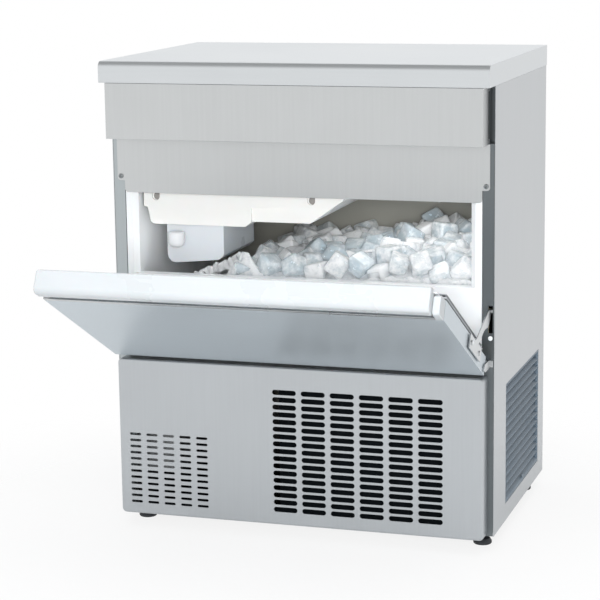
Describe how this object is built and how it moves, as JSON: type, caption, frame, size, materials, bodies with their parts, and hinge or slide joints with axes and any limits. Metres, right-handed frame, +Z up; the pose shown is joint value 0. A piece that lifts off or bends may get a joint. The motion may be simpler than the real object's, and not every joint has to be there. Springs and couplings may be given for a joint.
{
  "type": "ice maker",
  "caption": "Under-counter ice maker in brushed stainless steel, its drop-down door open on a white bin with ice below a tilting water tray.",
  "frame": {"origin": "on the floor, under the middle of the whole machine with its door open", "axes": "+X towards the right side panel (the viewer's right, seen from the front), +Y to the back, +Z up"},
  "size_m": [0.632, 0.7514, 0.77],
  "materials": {
    "stainless": "vertical brushed stainless steel",
    "stile_steel": "plain steel, duller",
    "galvanised": "galvanised sheet",
    "white_plastic": "smooth white",
    "cream_plastic": "smooth off-white",
    "grey_plastic": "grey-blue moulding",
    "dark_plastic": "dark grey",
    "foam": "rigid insulating foam",
    "seal": "soft dark grey seal",
    "black_paint": "satin black",
    "condenser_fins": "black-coated fins",
    "evaporator_plate": "tinned plate",
    "copper": "bare copper tube",
    "brass": "plain brass",
    "zinc": "bright zinc plating",
    "ice": "clear wet ice"
  },
  "bodies": {
    "cabinet": {"actuator_motor": "dark_plastic", "air_filter": "dark_plastic", "base_pan": "black_paint", "bin_liner": "white_plastic", "bin_thermostat": "zinc", "compressor": "black_paint", "condenser": "condenser_fins", "control_box": "galvanised", "cord_gland": "dark_plastic", "discharge_pipe": "copper", "drain_outlet": "white_plastic", "evaporator": "evaporator_plate", "evaporator_coil": "copper", "fan_motor": "black_paint", "fan_shroud": "dark_plastic", "fill_pipe": "white_plastic", "foot_back_left": "dark_plastic", "foot_back_right": "dark_plastic", "foot_front_left": "dark_plastic", "foot_front_right": "dark_plastic", "front_rail": "black_paint", "hinge_bracket_left": "zinc", "hinge_bracket_right": "zinc", "hood_panel": "stainless", "hood_screw_left": "zinc", "hood_screw_right": "zinc", "ice_heap": "ice", "insulation": "foam", "left_side_panel": "stainless", "left_stile": "stile_steel", "liquid_line": "copper", "lower_front_panel": "stainless", "rear_panel": "galvanised", "right_side_panel": "stainless", "right_stile": "stile_steel", "side_louvre": "grey_plastic", "suction_line": "copper", "tray_pivot_rod": "zinc", "unit_frame": "galvanised", "upper_front_panel": "stainless", "water_inlet": "brass", "water_valve": "dark_plastic", "worktop": "stainless"},
    "door": {"door_skin": "stainless", "door_foam": "foam", "door_liner": "white_plastic", "door_gasket": "seal", "door_handle": "white_plastic", "handle_cap_right": "white_plastic", "door_trim": "zinc", "door_stay_left": "zinc", "door_stay_right": "zinc"},
    "tray": {"water_tray": "cream_plastic", "water_tank": "white_plastic", "tank_drain_cap": "white_plastic", "circulation_pump": "grey_plastic"},
    "actuator": {"actuator_arm": "zinc"},
    "fan": {"fan_blade": "dark_plastic"},
    "impeller": {"pump_impeller": "white_plastic"}
  },
  "joints": [
    {"name": "door_hinge", "type": "hinge", "parent": "cabinet", "child": "door", "pos_m": [0, -0.07663, 0.306], "axis": [1, 0, 0], "range_deg": [-62, 0]},
    {"name": "tray_tilt", "type": "hinge", "parent": "cabinet", "child": "tray", "pos_m": [-0.262, 0.13337, 0.539], "axis": [0, 1, 0], "range_deg": [0, 8.9]},
    {"name": "actuator_swing", "type": "hinge", "parent": "cabinet", "child": "actuator", "pos_m": [0.14, 0.20037, 0.533], "axis": [0, -1, 0], "range_deg": [0, 60]},
    {"name": "fan_spin", "type": "hinge", "parent": "cabinet", "child": "fan", "pos_m": [0.1, 0.04167, 0.143], "axis": [0, 1, 0], "continuous": true},
    {"name": "impeller_spin", "type": "hinge", "parent": "tray", "child": "impeller", "pos_m": [-0.18, 0.18237, 0.455], "axis": [0, 0, 1], "continuous": true}
  ],
  "couplings": [
    {"joint": "actuator_swing", "follows": "tray_tilt", "ratio": 6.74}
  ]
}
